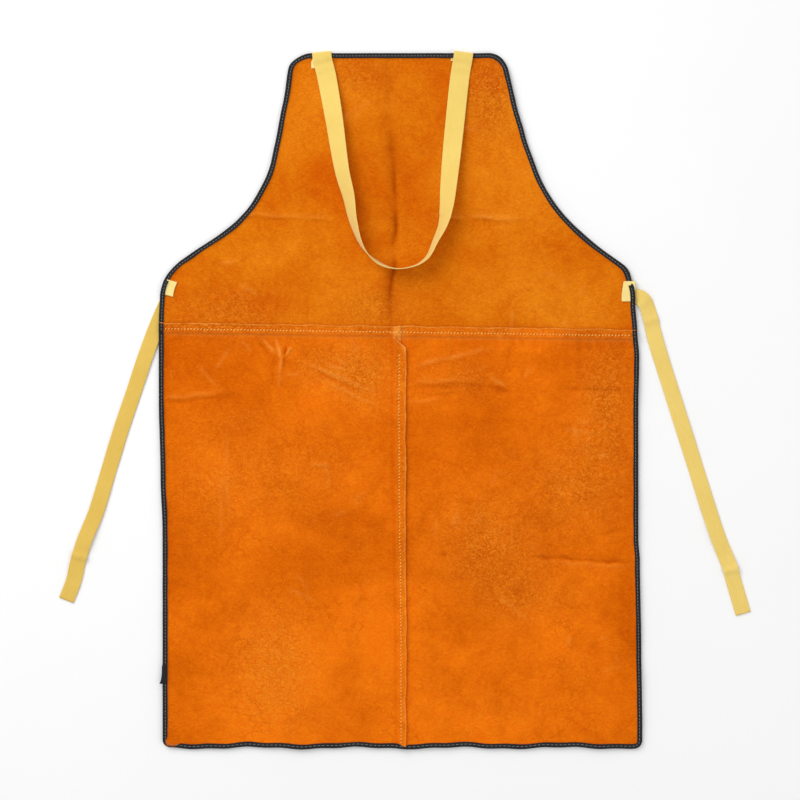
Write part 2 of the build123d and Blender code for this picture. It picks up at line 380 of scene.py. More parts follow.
# %% [markdown]
# ## Materials
#
# All finishes are procedural. A small class holds a material while it is made: each method adds one
# node and gives back its output. A finish then reads as a list of steps: where the pattern lives, what
# it looks like, and which shader socket it drives.

# %% Finish helper
class Finish:
    """A material in the making."""

    def __init__(self, name, roughness, sheen=0.0, specular=0.25):
        self.material = bpy.data.materials.new(name)
        self.material.use_nodes = True
        self.tree = self.material.node_tree
        self.shader = self.tree.nodes["Principled BSDF"]
        self.set("Roughness", roughness)
        self.set("Specular IOR Level", specular)
        self.set("Sheen Weight", sheen)

    def set(self, socket, value):
        """Give a shader socket one value, or drive it with an output."""
        if isinstance(value, bpy.types.NodeSocket):
            self.tree.links.new(value, self.shader.inputs[socket])
        else:
            self.shader.inputs[socket].default_value = value

    def add(self, kind, settings=None, **sockets):
        """Add a node. A socket is named with underscores, or by number as i0 and i1."""
        node = self.tree.nodes.new("ShaderNode" + kind)
        for key, value in (settings or {}).items():
            setattr(node, key, value)
        for key, value in sockets.items():
            socket = node.inputs[int(key[1:]) if key[1:].isdigit() else key.replace("_", " ")]
            if isinstance(value, bpy.types.NodeSocket):
                self.tree.links.new(value, socket)
            else:
                socket.default_value = value
        return node

    def where(self):
        """Object coordinates."""
        return self.add("TexCoord").outputs["Object"]

    def stored(self, name):
        """A number stored on the mesh's points."""
        return self.add("Attribute", {"attribute_name": name}).outputs["Fac"]

    def ramp(self, value, *stops):
        """A colour ramp through (position, grey or colour) stops."""
        node = self.add("ValToRGB", Fac=value)
        band = node.color_ramp
        while len(band.elements) < len(stops):
            band.elements.new(0.5)
        for element, (position, colour) in zip(band.elements, stops):
            element.position = position
            grey = isinstance(colour, (int, float))
            element.color = (colour, colour, colour, 1) if grey else (*colour, 1)
        return node.outputs["Color"]

    def mix(self, factor, first, second, blend="MIX"):
        """Mix two colours."""
        node = self.add("MixRGB", {"blend_type": blend}, Fac=factor, Color1=first, Color2=second)
        return node.outputs["Color"]

    def maths(self, operation, first, second=0.0, clamp=False):
        """One sum on numbers."""
        node = self.add("Math", {"operation": operation, "use_clamp": clamp}, i0=first, i1=second)
        return node.outputs["Value"]

    def times(self, first, second, clamp=False):
        """Multiply."""
        return self.maths("MULTIPLY", first, second, clamp)

    def plus(self, first, second, clamp=False):
        """Add."""
        return self.maths("ADD", first, second, clamp)

    def noise(self, at, scale, detail=4.0, roughness=0.55, distortion=0.0):
        """Noise of a given scale."""
        node = self.add("TexNoise", Vector=at, Scale=scale, Detail=detail,
                        Roughness=roughness, Distortion=distortion)
        return node.outputs["Fac"]

    def cell_edges(self, at, scale):
        """Distance to the nearest edge of a net of cells."""
        node = self.add("TexVoronoi", {"feature": "DISTANCE_TO_EDGE"}, Vector=at, Scale=scale)
        return node.outputs["Distance"]

    def moved(self, at, scale=(1, 1, 1), turn=0.0, shift=(0, 0, 0)):
        """Coordinates stretched, turned or shifted."""
        node = self.add("Mapping", Vector=at, Scale=scale, Rotation=(0, 0, turn), Location=shift)
        return node.outputs["Vector"]

    def roughen(self, height, strength, distance):
        """Drive the shader's normal with a bump."""
        bump = self.add("Bump", Height=height, Strength=strength, Distance=distance)
        self.set("Normal", bump.outputs["Normal"])


# %% [markdown]
# ### Suede
#
# Split leather has no grain side. Its face is a nap of short fibres that lies one way here and another
# there, which is why it looks cloudy: broad patches, smaller blotches inside them, and a fine fibre
# texture over everything. Old veins show as faint wandering lines, and the nap catches stray specks.
# The creases are painted from an attribute that the hide gets when it is laid down: painted shade in their
# valleys and beside the centre seam, painted highlights on their ridges and where the seams cross, painted
# light on the waist seam's slope, and the paler cut edges.

# %% Leather material
def suede(name, light, middle, dark, seed):
    """Orange suede: cloudy patches, blotches, nap, crackle, veins, specks, and painted shade and highlights
    at the creases.
    """
    hide = Finish(name, roughness=0.95, sheen=0.05, specular=0.06)
    hide.set("Specular Tint", (1.0, 0.45, 0.10, 1))
    hide.set("Sheen Roughness", 0.6)
    hide.set("Sheen Tint", (1.0, 0.40, 0.05, 1))
    where = hide.moved(hide.where(), shift=(seed, seed * 0.7, 0))

    # clouds, stains, and painted shade along the fold lines
    patches = hide.noise(where, 7.5, detail=3.0, roughness=0.6, distortion=0.4)
    blotches = hide.noise(where, 38.0, detail=6.0, roughness=0.72, distortion=0.6)
    cloud = hide.plus(hide.times(patches, 0.65), hide.times(blotches, 0.35))
    cloud = hide.plus(cloud, hide.stored("stain_and_fold_shade"))
    colour = hide.ramp(cloud, (0.32, dark), (0.50, middle), (0.68, light))

    # nap, stronger where the surface is crackled
    crackle = hide.times(hide.stored("crackle"), 1.0, clamp=True)
    nap_strength = hide.plus(hide.times(crackle, 0.45), 0.55, clamp=True)
    nap = hide.noise(hide.moved(where, scale=(1, 1.6, 1), turn=0.5), 240.0, detail=5.0, roughness=0.85)
    nap_shade = hide.ramp(nap, (0.37, 0.36), (0.5, 0.51), (0.62, 0.70))
    colour = hide.mix(nap_strength, colour, nap_shade, "OVERLAY")
    grit = hide.noise(where, 105.0, detail=5.0, roughness=0.75, distortion=0.5)
    colour = hide.mix(0.3, colour, hide.ramp(grit, (0.38, 0.38), (0.62, 0.62)), "OVERLAY")

    # the crackle's fine cracks, and the pale fibres that stand up between them
    warp = hide.add("TexNoise", Vector=where, Scale=60.0, Detail=4.0, Roughness=0.7).outputs["Color"]
    warped = hide.mix(0.035, where, warp)
    crack = hide.times(hide.ramp(hide.cell_edges(warped, 200.0), (0.0, 1.0), (0.22, 0.0)), crackle)
    colour = hide.mix(hide.times(crack, 0.20), colour, (0.90, 0.66, 0.40, 1), "MULTIPLY")
    raised = hide.ramp(hide.noise(warped, 290.0, detail=3.0, roughness=0.8), (0.49, 0.0), (0.60, 0.95))
    colour = hide.mix(hide.times(raised, crackle), colour, (0.96, 0.30, 0.022, 1))

    # long veins and pale specks, each only in some places
    vein_line = hide.ramp(hide.cell_edges(warped, 30.0), (0.0, 1.0), (0.035, 0.0))
    vein_place = hide.ramp(hide.noise(where, 14.0, detail=1.0), (0.47, 0.0), (0.60, 0.65))
    colour = hide.mix(hide.times(vein_line, vein_place), colour, dark + (1,))
    specks = hide.add("TexVoronoi", Vector=where, Scale=260.0).outputs["Distance"]
    speck_place = hide.ramp(hide.noise(where, 18.0, detail=3.0), (0.56, 0.0), (0.70, 0.4))
    speck = hide.times(hide.ramp(specks, (0.12, 1.0), (0.30, 0.0)), speck_place)
    colour = hide.mix(speck, colour, (0.90, 0.32, 0.04, 1))

    # painted shade in the crease valleys and beside the centre seam; painted highlights on ridges, on the
    # waist seam's slope and where the seams cross; and the paler colour of cut edges
    painted_shade_and_paleness = hide.stored("painted_shade_and_paleness")
    painted_valley_shade = hide.times(hide.maths("MAXIMUM", painted_shade_and_paleness, 0.0), 0.42, clamp=True)
    colour = hide.mix(painted_valley_shade, colour, (0.55, 0.35, 0.2, 1), "MULTIPLY")
    painted_highlight_and_pale_edge = hide.times(hide.maths("MINIMUM", painted_shade_and_paleness, 0.0), -0.42, clamp=True)
    colour = hide.mix(painted_highlight_and_pale_edge, colour, (0.92, 0.34, 0.05, 1))
    hide.set("Base Color", colour)
    height = hide.plus(nap, hide.times(grit, 0.8))
    hide.roughen(hide.maths("SUBTRACT", height, hide.times(crack, 0.9)), 0.7, 0.0010)
    return hide.material


bib_suede = suede("bib_suede", (0.76, 0.205, 0.007), (0.665, 0.155, 0.003), (0.575, 0.093, 0.001), 3.1)
skirt_suede = suede("skirt_suede", (0.86, 0.172, 0.004), (0.69, 0.128, 0.002), (0.56, 0.090, 0.001), 8.4)


# %% Cut edge of the hide
def cut_edge():
    """The raw cut edge, where the pale fibres of the middle of the hide show."""
    edge = Finish("cut_edge", roughness=0.95)
    where = edge.where()
    edge.set("Base Color", edge.ramp(edge.noise(where, 500.0), (0.3, (0.68, 0.16, 0.015)),
                                     (0.7, (0.88, 0.29, 0.06))))
    edge.roughen(edge.noise(where, 900.0), 0.6, 0.0004)
    return edge.material


raw_edge = cut_edge()

# %% [markdown]
# ### Cloth
#
# Webbing and tape are woven, so their pattern has to follow the strip round every bend. Each strip gets
# a UV map in metres, one axis along it and one across, and sine waves on that map make the ribs.

# %% Woven materials
rib_width = 1.6 * mm
rib_length = 1.1 * mm


def woven(name, colour, shade, across=rib_width, along=rib_length, sheen=0.3):
    """Woven strip: ribs both ways on the strip's own UV map, with a little slubby colour change."""
    cloth = Finish(name, roughness=0.8, sheen=sheen)
    uv = cloth.add("UVMap", {"uv_map": "strip"}).outputs["UV"]
    parts = cloth.add("SeparateXYZ", Vector=uv).outputs
    rows = cloth.maths("SINE", cloth.times(parts["X"], 2 * pi / along))
    columns = cloth.maths("SINE", cloth.times(parts["Y"], 2 * pi / across))
    weave = cloth.times(rows, columns)
    slub = cloth.noise(cloth.moved(uv, scale=(60, 900, 1)), 1.0, detail=3.0)
    soil = cloth.noise(uv, 22.0, detail=4.0, roughness=0.6)
    tone = cloth.plus(cloth.times(weave, 0.16), cloth.times(slub, 0.5))
    tone = cloth.plus(tone, cloth.times(soil, 0.5))
    cloth.set("Base Color", cloth.ramp(tone, (0.2, shade), (0.75, colour)))
    cloth.roughen(cloth.plus(cloth.times(weave, 0.5), slub), 0.5, 0.0003)
    return cloth.material


neck_webbing = woven("neck_webbing", (0.86, 0.64, 0.17), (0.75, 0.51, 0.10))
tie_webbing = woven("tie_webbing", (0.88, 0.65, 0.18), (0.76, 0.52, 0.11))
# the left tie's webbing, painted darker as painted shade
painted_shade_webbing = woven("painted_shade_tie_webbing", (0.78, 0.53, 0.11), (0.66, 0.42, 0.06))
end_webbing = woven("webbing_end", (0.93, 0.76, 0.30), (0.86, 0.64, 0.20))
dark_tape = woven("binding_tape", (0.017, 0.017, 0.020), (0.007, 0.007, 0.009),
                  across=0.8 * mm, along=0.7 * mm, sheen=0.06)


# %% Thread material
def spun_thread(name, colour, shade):
    """Spun thread, with the light and dark of its twist."""
    thread = Finish(name, roughness=0.8)
    tone = thread.noise(thread.where(), 900.0, detail=2.0)
    thread.set("Base Color", thread.ramp(tone, (0.3, shade), (0.7, colour)))
    thread.roughen(tone, 0.5, 0.0002)
    return thread.material


grey_thread = spun_thread("binding_thread", (0.34, 0.33, 0.32), (0.18, 0.175, 0.17))
pink_thread = spun_thread("seam_thread", (0.97, 0.64, 0.17), (0.90, 0.44, 0.07))

# %% [markdown]
# ## The leather panels
#
# Three pieces of hide make the apron: the bib, and a left and a right skirt. Each is cut out of the
# outline face with straight cuts, seam allowance included, and then diced with more cuts until it is
# fine enough to bend. The dicing is closer beside the seams, where the leather steps up and folds.
#
# At a seam both allowances are turned to one side and topstitched. The lower one is a half-turn of
# leather, grown from the cut edge with extrusions. The upper one is the same sheet carrying on over it,
# so it only needs a height that steps up at the seam.

# %% Cutting tools
fine_step, coarse_step = 1.1 * mm, 2.5 * mm
fine_reach = 14 * mm          # how far from a seam the dicing is fine


def slice_at(bm, axis, at, **cleared):
    """Cut straight through everything, square to one axis."""
    across = Vector((axis == 0, axis == 1, 0))
    bmesh.ops.bisect_plane(bm, geom=bm.verts[:] + bm.edges[:] + bm.faces[:], dist=1e-6,
                           plane_co=across * at, plane_no=across, **cleared)


def trim(bm, axis, at, keep):
    """Trim the pattern along a straight line, and keep the side that `keep` points to (+1 or -1)."""
    slice_at(bm, axis, at, clear_inner=keep > 0, clear_outer=keep < 0)


def dice(bm, axis, seams):
    """Cut the sheet into narrow bands across one axis, finer beside the seams. Gives its length."""
    low, high = (end(vert.co[axis] for vert in bm.verts) for end in (min, max))
    at = low
    while at < high - 1.3 * mm:
        beside = min((abs(at - seam) for seam in seams), default=1.0)
        at += fine_step if beside < fine_reach else coarse_step
        slice_at(bm, axis, at)
    return high - low


def fold_under_layer(bm, axis, at, turn_to, width):
    """Grow a turned-up allowance from a cut edge: a half-turn, then a flat run over the sheet."""
    edges = [edge for edge in bm.edges if edge.is_boundary
             and all(abs(vert.co[axis] - at) < 1e-6 for vert in edge.verts)]
    half = leather / 2
    profile = [(-half * sin(pi * k / 5), half - half * cos(pi * k / 5)) for k in range(1, 6)]
    profile += [(width * k / 4, leather) for k in range(1, 5)]
    base = edges[0].verts[0].co.z
    for offset, height in profile:
        grown = bmesh.ops.extrude_edge_only(bm, edges=edges)["geom"]
        for vert in [item for item in grown if isinstance(item, bmesh.types.BMVert)]:
            vert.co[axis] = at + turn_to * offset
            vert.co.z = base + height
        edges = [item for item in grown if isinstance(item, bmesh.types.BMEdge) and item.is_boundary
                 and abs(item.verts[0].co[axis] - item.verts[1].co[axis]) < 1e-7]


# %% [markdown]
# The nap is darker in some places than in others: where two hides differ and in a few old damp marks, and
# along the fold lines it is painted shade of the soft folds. Each such place is one soft spot with a
# centre, two radii and a strength.

# %% Stains, painted fold shade and worn places
# the middle of each spot, its two radii, and how much paler (+) or darker (-) it is
# the darker spots along the fold lines are painted shade of the soft folds
stains_and_fold_shade = [
    ((0.000, 0.425), (0.105, 0.040), -0.075), ((0.128, 0.385), (0.020, 0.050), -0.080),
    ((-0.048, 0.381), (0.016, 0.014), 0.070), ((-0.225, 0.115), (0.085, 0.035), -0.140),
    ((0.100, 0.155), (0.062, 0.036), 0.080), ((-0.012, 0.135), (0.024, 0.040), -0.100),
    ((0.000, 0.300), (0.060, 0.100), -0.020), ((-0.100, 0.020), (0.060, 0.040), 0.040),
    ((-0.082, -0.074), (0.032, 0.042), -0.070), ((0.095, 0.034), (0.028, 0.028), -0.035),
    ((0.087, -0.170), (0.050, 0.055), -0.070), ((0.165, -0.150), (0.050, 0.045), -0.030),
    ((-0.268, -0.253), (0.036, 0.012), -0.060), ((-0.165, -0.360), (0.036, 0.056), 0.080),
    ((0.000, -0.420), (0.340, 0.190), 0.130), ((-0.05, -0.30), (0.10, 0.10), 0.040),
    ((0.056, -0.200), (0.004, 0.003), -0.300), ((0.153, -0.248), (0.003, 0.003), -0.250),
    ((0.215, -0.295), (0.003, 0.003), -0.220), ((0.200, 0.040), (0.090, 0.040), 0.020),
    ((-0.240, -0.010), (0.060, 0.050), -0.030), ((0.190, 0.130), (0.100, 0.040), 0.070),
]
# where the nap is broken up into a fine crackle, and how strongly
crackled = [
    ((-0.045, 0.030), (0.036, 0.040), 1.0), ((-0.100, 0.040), (0.040, 0.030), 0.6),
    ((0.120, 0.395), (0.040, 0.060), 0.8), ((-0.060, 0.420), (0.050, 0.030), 0.5),
    ((0.085, 0.030), (0.040, 0.026), 0.4), ((0.270, 0.000), (0.035, 0.070), 0.8),
    ((-0.165, -0.350), (0.050, 0.075), 0.9), ((-0.220, 0.110), (0.070, 0.030), 0.6),
    ((0.110, -0.180), (0.060, 0.060), 0.7), ((0.230, -0.110), (0.060, 0.060), 0.7),
    ((-0.030, 0.120), (0.050, 0.030), 0.6), ((-0.250, -0.100), (0.050, 0.080), 0.3),
    ((0.160, -0.250), (0.060, 0.040), 0.5), ((-0.150, -0.100), (0.080, 0.060), 0.4),
]


def spots_at(spots, x, y):
    """Sum of the soft spots at a point."""
    return sum(amount * exp(-((x - middle_x) / radius_x) ** 2 - ((y - middle_y) / radius_y) ** 2)
               for (middle_x, middle_y), (radius_x, radius_y), amount in spots)


# %% [markdown]
# The stitching pulls the top allowance down along its row, and the free edge beyond it lifts a little.
# Where the two seams cross, six layers meet: the centre allowance is pinched narrow, folds over, and ends
# in a knob on top of the waist seam, which is given a painted highlight.

# %% Layer heights
topstitch_inset = 4 * mm
waist_raw = waist_y + allowance       # where the waist allowance is cut
centre_raw = seam_x + allowance       # where the centre allowance is cut
top_layer = 2 * leather


def step_up(distance):
    """0 before a seam and 1 on its turned-up allowance."""
    return smooth((distance + 3.4 * mm) / (4.6 * mm))


def stitch_press(distance):
    """A shallow furrow along a row of stitches."""
    return -0.35 * mm * hump(distance, 1.3 * mm)


def strip_shift(x, y):
    """How far the centre allowance is pulled sideways: wider above, pinched just under the waist seam."""
    if x < seam_x - 3.4 * mm:
        return 0.0
    share = smooth((x - seam_x + 3.4 * mm) / (allowance + 3.4 * mm))
    wide = along_list([(-0.45, -2.0), (-0.25, -0.5), (0.03, 3.2), (0.07, 2.0)], y) * mm
    pinch = 0.9 * smooth((y - 0.067) / 0.014) - 0.45 * smooth((y - 0.084) / 0.005)
    return share * wide - pinch * max(0.0, x + share * wide - seam_x)


def left_level(x, y):
    """Left skirt: over both seams, and folded over itself where they cross."""
    waist, centre = step_up(y - waist_y), step_up(x - seam_x)
    knob = leather * centre * waist * (1.1 + 0.8 * noise_of(x, y, 130, 2))
    near_cross = smooth((y - 0.052) / 0.016) * (1 - waist)
    outer_half = max(0.0, x - seam_x - allowance * 0.5) / (allowance * 0.5)
    flip = 2.0 * mm * centre * near_cross * smooth(outer_half * 1.6)
    press = waist * stitch_press(y - waist_y - topstitch_inset) * (1 - centre)
    press += centre * stitch_press(x - seam_x - topstitch_inset) * (1 - waist)
    return top_layer * max(waist, centre) + knob + flip + press


def right_level(x, y):
    """Right skirt: up over the waist seam, and under the left skirt's centre allowance."""
    return step_up(y - waist_y) * (top_layer + stitch_press(y - waist_y - topstitch_inset))


def edge_lift(x, y):
    """The hide's rim stands on the lower leg of the tape."""
    return tape * smooth((leg + 3 * mm - from_edge(x, y)) / (3 * mm))


# %% [markdown]
# Cut suede edges are paler than the face, curl up slightly, and never run quite straight, so each
# panel knows how far a point is from its visible cut edge.

# %% Cut edges
far_away = 1.0


def left_cut(x, y):
    """Distance to the left skirt's cut edges: the waist allowance's and the centre allowance's."""
    return min(waist_raw - y, centre_raw - x if y < waist_raw else far_away)


def right_cut(x, y):
    """Distance to the right skirt's cut edge, on its waist allowance."""
    return waist_raw - y


def no_cut(x, y):
    """The bib's cut edges are all out of sight."""
    return far_away


def pale_edge_and_painted_light(x, y, to_cut):
    """How pale the hide is: paler at its cut edge, with painted light on the seam's slope and painted
    highlights on the crossing's flap and knob.
    """
    edge = (0.95 + 0.9 * noise_of(x, y, 70, 3)) * smooth((2.2 * mm - to_cut) / (1.4 * mm))
    # painted light on the slope up to the waist seam, against the shadow there
    slope = 0.45 * hump(y - waist_y + 2 * mm, 2.4 * mm) * (to_cut < 20 * mm)
    # painted highlights on the knob and on the folded-over flap where the seams cross
    knob = 2.2 * hump(hypot(x - seam_x - 5 * mm, (y - waist_y - 4 * mm) * 0.6), 6 * mm) * (to_cut < 20 * mm)
    flap = 2.0 * smooth((x - centre_raw + 5 * mm) / (4 * mm)) * hump(y - 0.072, 9 * mm) * (to_cut < 6 * mm)
    return edge + slope + knob + flap


def ragged(x, y, to_cut):
    """How far the cut edge wanders."""
    wander = 1.5 * noise_of(x, y, 32, 9) + 0.7 * noise_of(x, y, 130, 9)
    return wander * mm * smooth((6 * mm - to_cut) / (5 * mm))


# %% [markdown]
# A panel is shaped in this order: cut, dice, fold the allowance, give every point its height in the
# layers, note its shade, and only then lay it on the floor. Its flat area is measured before that last
# step, because that is the piece of hide that was bought.

# %% Panel builder
def leather_panel(name, cuts, folds, fine_x, fine_y, level, to_cut_at, shift, material, slot_name,
                  node):
    """Cut, fold, shape and lay one panel. cuts and folds are (axis, place, side) lists."""
    bm = bmesh.new()
    pattern_face(bm)
    for axis, at, side in cuts:
        trim(bm, axis, at, side)
    spans = dice(bm, 0, fine_x), dice(bm, 1, fine_y)
    flat_area = sum(face.calc_area() for face in bm.faces)
    for axis, at, side in folds:
        fold_under_layer(bm, axis, at, side, allowance - 3 * mm)
        flat_area += allowance * spans[1 - axis]
    stain_and_fold_shade, painted_shade_and_paleness, crackle = (bm.verts.layers.float.new(name) for name in ("stain_and_fold_shade", "painted_shade_and_paleness", "crackle"))
    for vert in bm.verts:
        x, y, layer = vert.co
        to_cut = to_cut_at(x, y)
        # the stain spots, painted shade along the fold lines among them, and darker towards both side edges
        vert[stain_and_fold_shade] = spots_at(stains_and_fold_shade, x, y) - 0.05 * smooth((abs(x) - 0.25) / 0.06)
        vert[crackle] = spots_at(crackled, x, y) + 0.5 * smooth((allowance - to_cut) / (3 * mm))
        # painted shade in the valley left of the centre seam, below the waist seam
        seam_valley_shade = 0.5 * hump(x - seam_x + 3.2 * mm, 2.6 * mm) * smooth((waist_y - y) / (6 * mm))
        # painted shade and highlights of the creases and seams, together with the paler cut edges
        vert[painted_shade_and_paleness] = crease_at(x, y)[1] + seam_valley_shade - pale_edge_and_painted_light(x, y, to_cut)
        curl = smooth((3.2 * mm - to_cut) / (3.2 * mm)) * (0.7 + 0.5 * noise_of(x, y, 40, 6)) * mm
        pressed = 1 - 0.35 * smooth((16 * mm - from_edge(x, y)) / (10 * mm))
        height = layer + leather / 2 + level(x, y) * pressed + edge_lift(x, y) + curl
        wobble = ragged(x, y, to_cut)
        vert.co = place(x + wobble + shift(x, y), y + wobble, height)
    bmesh.ops.recalc_face_normals(bm, faces=bm.faces[:])
    panel = make_object(name, bm, [material, raw_edge], thickness=leather, rim_material=1)
    if panel.data.polygons[len(panel.data.polygons) // 2].normal.z < 0:
        panel.data.flip_normals()
    sewn_on(panel, slot_name, node)
    print(f"{name}: {round(flat_area, 4)} square metres of hide")


def unmoved(x, y):
    """For a panel that is neither raised nor pulled sideways."""
    return 0.0


# %% The three panels
leather_panel("left_skirt_leather", [(1, waist_raw, -1), (0, centre_raw, -1)], [],
              [seam_x, -0.155], [waist_y, 0.055, 0.002], left_level, left_cut, strip_shift,
              skirt_suede, "skirt_leather", "left_skirt_panel")
leather_panel("right_skirt_leather", [(1, waist_raw, -1), (0, seam_x, 1)], [(0, seam_x, 1)],
              [seam_x], [waist_y, 0.020, -0.208], right_level, right_cut, unmoved,
              skirt_suede, "skirt_leather", "right_skirt_panel")
leather_panel("bib_leather", [(1, waist_y, 1)], [(1, waist_y, 1)],
              [-0.012], [0.235], unmoved, no_cut, unmoved,
              bib_suede, "bib_leather", "bib_panel")

# %% [markdown]
# ## Threads
#
# A lockstitch shows as a row of short beads, each sinking into the leather at both ends. One bead is a
# low sphere stretched along the seam. There are well over a thousand, so each has only a few faces.

# %% Stitch rows
beads_at_once = 8             # a growing bmesh gets slow, so a few beads are made at a time


def bead(bm, start, end, radius):
    """One stitch: a stretched sphere with its poles at the needle holes."""
    along = (end - start).normalized()
    across = along.cross(Vector((0, 0, 1))).normalized()
    up = across.cross(along).normalized()
    half = (end - start).length / 2
    matrix = Matrix.Translation((start + end) / 2) @ Matrix((
        (across.x * radius, up.x * radius, along.x * half, 0),
        (across.y * radius, up.y * radius, along.y * half, 0),
        (across.z * radius, up.z * radius, along.z * half, 0), (0, 0, 0, 1)))
    bmesh.ops.create_uvsphere(bm, u_segments=8, v_segments=5, radius=1.0, matrix=matrix)


def stitch_row(name, runs, radius, material, slot_name, *nodes):
    """Beads between pairs of flat pattern points (x, y, z)."""
    bm = bmesh.new()
    for first in range(0, len(runs), beads_at_once):
        group = bmesh.new()
        for start, end in runs[first:first + beads_at_once]:
            bead(group, place(*start), place(*end), radius)
        group_mesh = bpy.data.meshes.new("group")
        group.to_mesh(group_mesh)
        group.free()
        bm.from_mesh(group_mesh)
        bpy.data.meshes.remove(group_mesh)
    sewn_on(make_object(name, bm, [material]), slot_name, *nodes)


# %% Seam rows
random = Random(7)
stitch_pitch = 4.3 * mm
stitch_gap = 1.05 * mm        # from a bead's end to the middle of the gap
inside = half_width - leg - 1 * mm
hem_end = -half_length + leg
crossing_end = 0.062          # where the centre topstitching stops below the waist seam


def seam_runs(axis, low, high, across_at, height):
    """Stitches along one axis, with a slightly uneven pitch and line."""
    runs, at = [], low
    while at < high - stitch_pitch:
        length = stitch_pitch * random.uniform(0.92, 1.08)
        line = across_at + random.gauss(0, 0.15 * mm)
        lean = 0.95 * mm + random.gauss(0, 0.15 * mm)
        ends = [(at + stitch_gap, line - lean), (at + length - stitch_gap, line + lean)]
        if axis == 1:
            ends = [(x + strip_shift(x, y), y, height(x, y)) for y, x in ends]
        else:
            ends = [(x, y, height(x, y)) for x, y in ends]
        runs.append(ends)
        at += length
    return runs


def waist_top(x, y):
    """Height of the waist seam's upper face."""
    knob = left_level(x, y) if x < centre_raw else top_layer
    return leather + knob - stitch_press(0) * 0.5


def centre_top(x, y):
    """Height of the centre seam's upper face."""
    return leather + left_level(x, y) + 0.2 * mm


def topstitches(name, axis, low, high, across_at, top, under, radius, node):
    """A row seen on both faces."""
    runs = seam_runs(axis, low, high, across_at, top)
    runs += seam_runs(axis, low, high, across_at, lambda x, y: under)
    stitch_row(name, runs, radius, pink_thread, "seam_thread", node)


topstitches("waist_stitches", 0, -inside, inside, waist_y + topstitch_inset, waist_top,
            0.2 * mm, 0.60 * mm, "waist_topstitching")
topstitches("centre_stitches", 1, hem_end, crossing_end, seam_x + topstitch_inset, centre_top,
            0.1 * mm, 0.50 * mm, "centre_topstitching")
hidden_runs = seam_runs(0, -inside, inside, waist_y, lambda x, y: leather * 0.9)
hidden_runs += seam_runs(1, hem_end, waist_y, seam_x, lambda x, y: leather * 0.9)
stitch_row("seam_stitches", hidden_runs, 0.3 * mm, pink_thread, "seam_thread",
           "waist_seam_thread", "centre_seam_thread")

# %% [markdown]
# ## The binding
#
# The binding is one long woven tape, folded lengthwise over the raw edge and sewn through. It starts
# as what it is, a flat strip of squares as long as the outline and fifteen points wide. Every vertex
# knows from its place in the strip which station of the outline it belongs to and how far across the
# tape it is, so folding the strip means giving each of those steps a distance from the edge and a height.

# %% Where the needle went through
tape_stitch = 2.9 * mm        # from the leather's edge to the stitches
hem_left = Vector((-0.3015, -0.4475, 0))
hem_seam_x = 2 * mm
hem_line = -0.44              # stations below this are on the hem
seam_swell = 2 * leather * 0.65
seam_middle = allowance / 2 - 1 * mm
# where something lies under the tape: the middle, half the width, and how much thicker it gets
thick_places = [
    (flat_from_laid(-0.1015, 0.450), 13.0 * mm, webbing),
    (flat_from_laid(0.0795, 0.450), 13.0 * mm, webbing),
    (flat_from_laid(-0.3105, 0.146), 10.5 * mm, webbing),
    (flat_from_laid(0.3105, 0.141), 12.5 * mm, webbing),
    (Vector((-half_width, waist_y + seam_middle, 0)), 6 * mm, seam_swell),
    (Vector((half_width, waist_y + seam_middle, 0)), 6 * mm, seam_swell),
    (Vector((seam_x + seam_middle, -half_length, 0)), 6 * mm, seam_swell)]
needle_holes = []
station = 0
while station < len(outline):
    needle_holes.append(station)
    station += 4 if outline[station][0].y < hem_line else 3
from_hole = [0] * len(outline)
for first, last in zip(needle_holes, needle_holes[1:] + [len(outline)]):
    for n in range(first, last):
        from_hole[n] = min(n - first, last - n)
print(len(needle_holes), "stitches round the edge")


# %% How the tape lies
def leg_width(n, outer=False):
    """Width of the tape's leg at a station: it wanders, and shrinks at two places on the hem."""
    point = outline[n][0]
    width = leg * (1 + 0.10 * noise_of(point.x, point.y, 38, 5 + outer))
    if not outer:
        width *= 1 - 0.88 * smooth(1.5 - (point - hem_left).length / (10 * mm))
        if point.y < hem_line:
            width *= 1 - 0.5 * hump(point.x - hem_seam_x, 4 * mm)
    return width


def bulge(n):
    """The tape swells where a webbing end or the end of a seam lies under it."""
    point = outline[n][0]
    return max(more * smooth((half + 2.5 * mm - (point - middle).length) / (3 * mm))
               for middle, half, more in thick_places)


fold_height = leather + 1.5 * tape
tape_steps = 14               # squares across the tape, between its fifteen points


def upper_height(n, inset):
    """Middle of the tape's upper leg: puffed beside the edge, sunk at the stitches, a little flared."""
    puff = 0.45 * mm * hump(inset - 1.0 * mm, 1.0 * mm) + 0.22 * mm * smooth((inset - 4.4 * mm) / mm)
    sink = (0.50 - 0.15 * from_hole[n]) * mm * hump(inset - tape_stitch, 0.8 * mm)
    return fold_height + puff - sink + bulge(n)


def tape_point(n, step, grow):
    """(inset, height) of one step across the tape: five below, three round the edge, seven above."""
    if step < 5:
        return leg_width(n, outer=True) * (1 - step / 5), tape / 2 - grow * 0.4
    if step < 8:
        turn = pi * (step - 4) / 4
        radius = (fold_height + bulge(n) - tape / 2) / 2
        return -(0.45 * mm + grow) * sin(turn), tape / 2 + radius * (1 - cos(turn)) + grow * step / 8
    inset = leg_width(n) * (step - 8) / 6
    return inset, upper_height(n, inset) + grow


